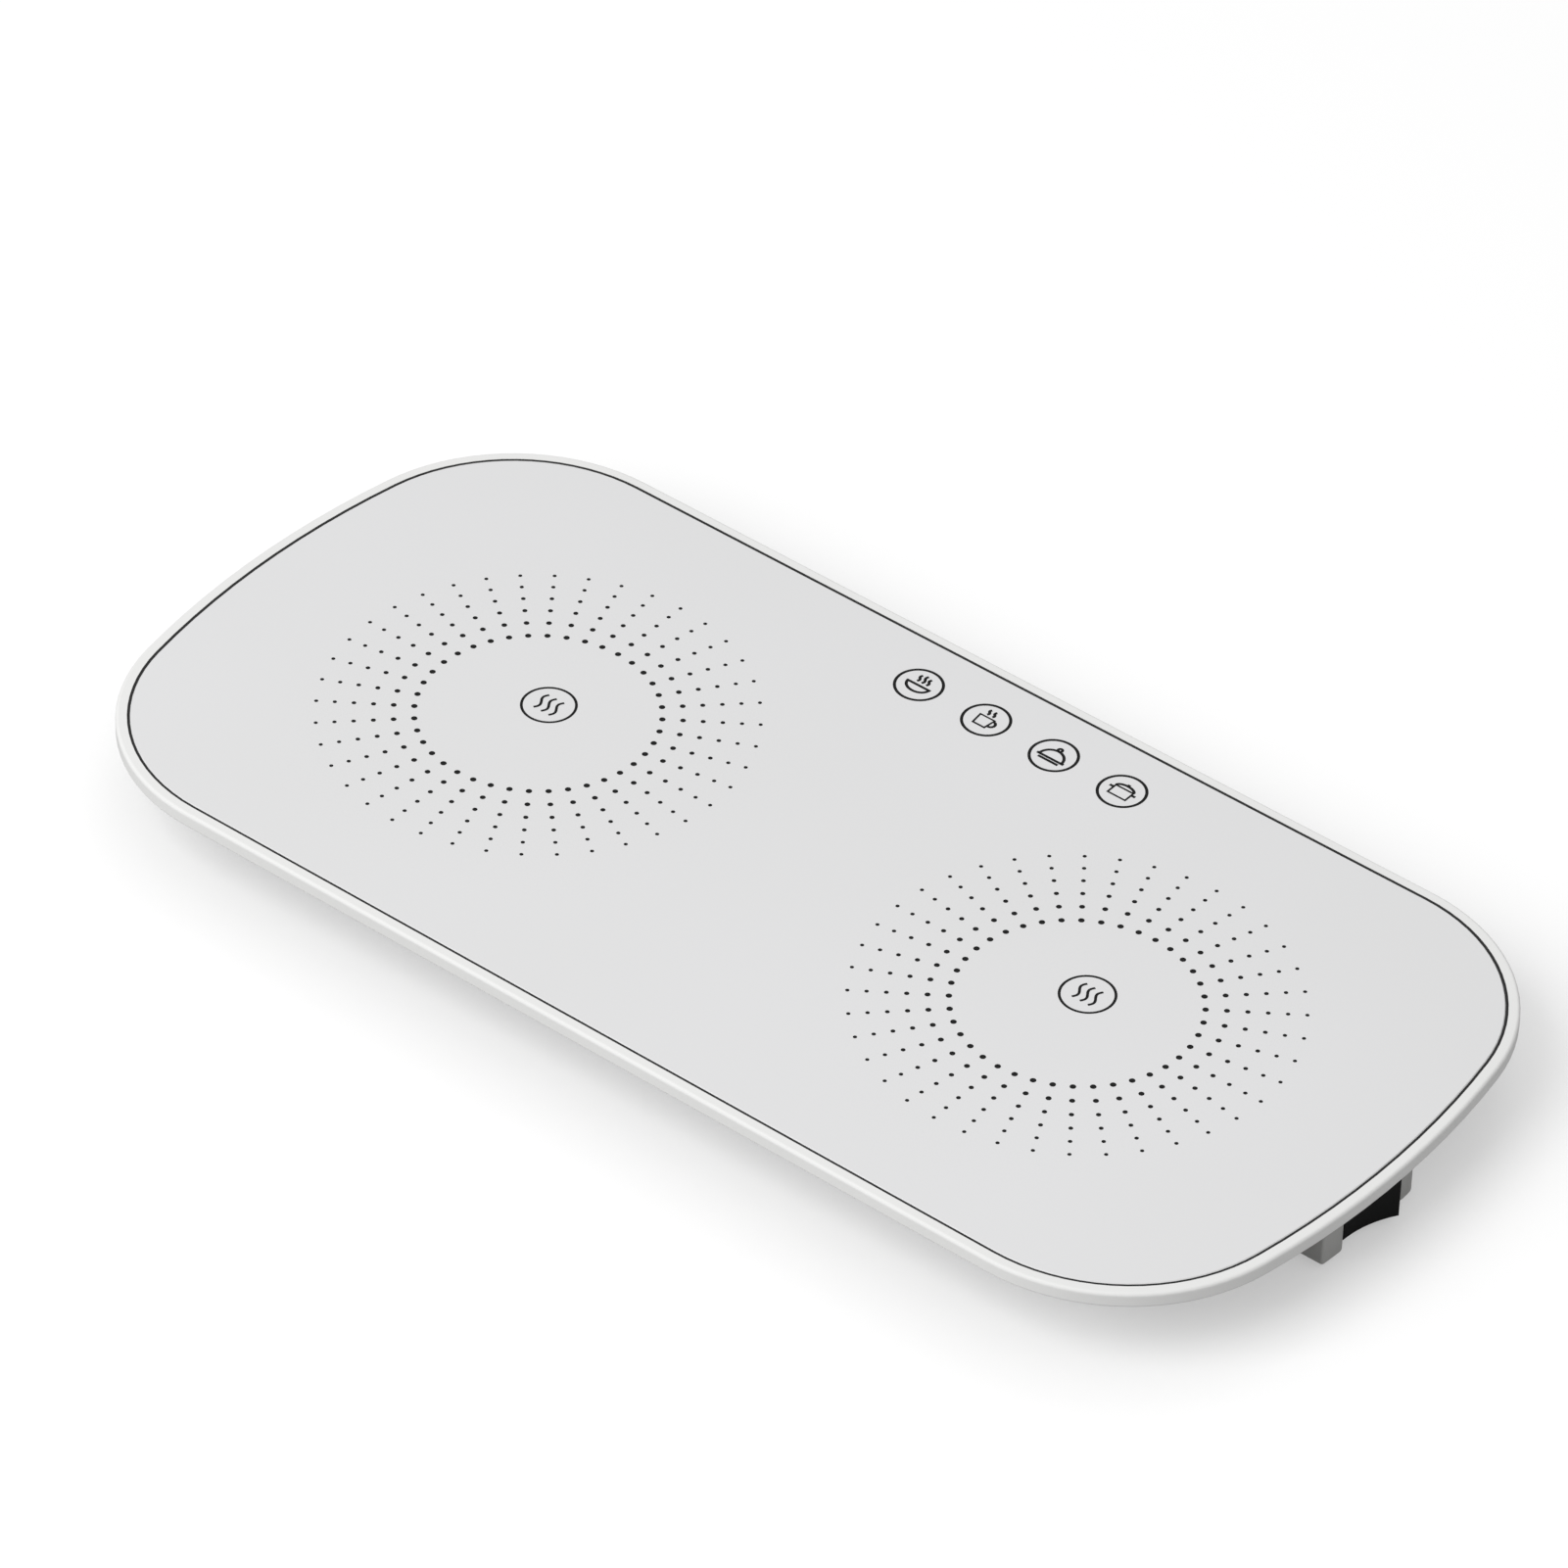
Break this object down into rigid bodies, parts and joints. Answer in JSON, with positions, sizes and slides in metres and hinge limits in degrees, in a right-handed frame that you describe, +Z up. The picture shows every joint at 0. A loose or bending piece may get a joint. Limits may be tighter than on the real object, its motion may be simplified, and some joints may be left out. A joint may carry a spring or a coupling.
{
  "type": "food warming tray",
  "caption": "Slim rounded tray with a flat glass warming plate, short legs and a rocker switch in a pod under one end.",
  "frame": {"origin": "on the table under the middle of the tray", "axes": "+X along the tray to the end with the switch, +Y across it to the long side with the power inlet, +Z up"},
  "size_m": [0.3984, 0.1956, 0.0256],
  "materials": {
    "rim_plastic": "satin moulded",
    "plate_glass": "satin etched, printed",
    "seal_rubber": "matt",
    "pan_plastic": "fine texture",
    "leg_plastic": "fine texture",
    "foot_rubber": "matt",
    "pod_plastic": "satin moulded",
    "switch_plastic": "semi-gloss",
    "inlet_plastic": "matt",
    "screw_steel": "zinc plated",
    "contact_metal": "bare",
    "heater_film": "smooth film",
    "insulation_felt": "needled",
    "thermostat_body": "matt",
    "sleeve_silicone": "matt"
  },
  "bodies": {
    "tray": {"bottom_pan": "pan_plastic", "common_tab": "contact_metal", "edge_seal": "seal_rubber", "foot_far_left": "foot_rubber", "foot_far_right": "foot_rubber", "foot_near_left": "foot_rubber", "foot_near_right": "foot_rubber", "glass_plate": "plate_glass", "heater_busbars": "contact_metal", "heater_left": "heater_film", "heater_right": "heater_film", "inlet_pins": "contact_metal", "insulation_mat": "insulation_felt", "leg_far_left": "leg_plastic", "leg_far_right": "leg_plastic", "leg_near_left": "leg_plastic", "leg_near_right": "leg_plastic", "leg_screws": "screw_steel", "line_tab": "contact_metal", "pan_grommet": "seal_rubber", "pan_screws": "screw_steel", "pod_screws": "screw_steel", "power_inlet": "inlet_plastic", "rim_frame": "rim_plastic", "rocker_pin": "screw_steel", "strap_screws": "screw_steel", "switch_case": "switch_plastic", "switch_pod": "pod_plastic", "thermal_fuse": "sleeve_silicone", "thermostat": "thermostat_body", "thermostat_strap": "screw_steel", "thermostat_tabs": "contact_metal", "wire_feed": "sleeve_silicone", "wire_link_far": "sleeve_silicone", "wire_link_near": "sleeve_silicone", "wire_live": "sleeve_silicone", "wire_neutral": "sleeve_silicone", "wire_switched": "sleeve_silicone", "wire_to_fuse": "sleeve_silicone"},
    "rocker": {"rocker": "switch_plastic", "contact_plunger": "contact_metal", "plunger_spring": "screw_steel"},
    "lever": {"contact_lever": "contact_metal", "lever_rivet": "contact_metal"}
  },
  "joints": [
    {"name": "rocker_tilt", "type": "hinge", "parent": "tray", "child": "rocker", "pos_m": [0.18795, 0, 0.0101], "axis": [0, 0, 1], "range_deg": [0, 34]},
    {"name": "lever_tilt", "type": "hinge", "parent": "tray", "child": "lever", "pos_m": [0.17675, 0, 0.0101], "axis": [0, 0, 1], "range_deg": [-16, 0]}
  ],
  "couplings": [
    {"joint": "lever_tilt", "follows": "rocker_tilt", "ratio": -0.47059}
  ]
}
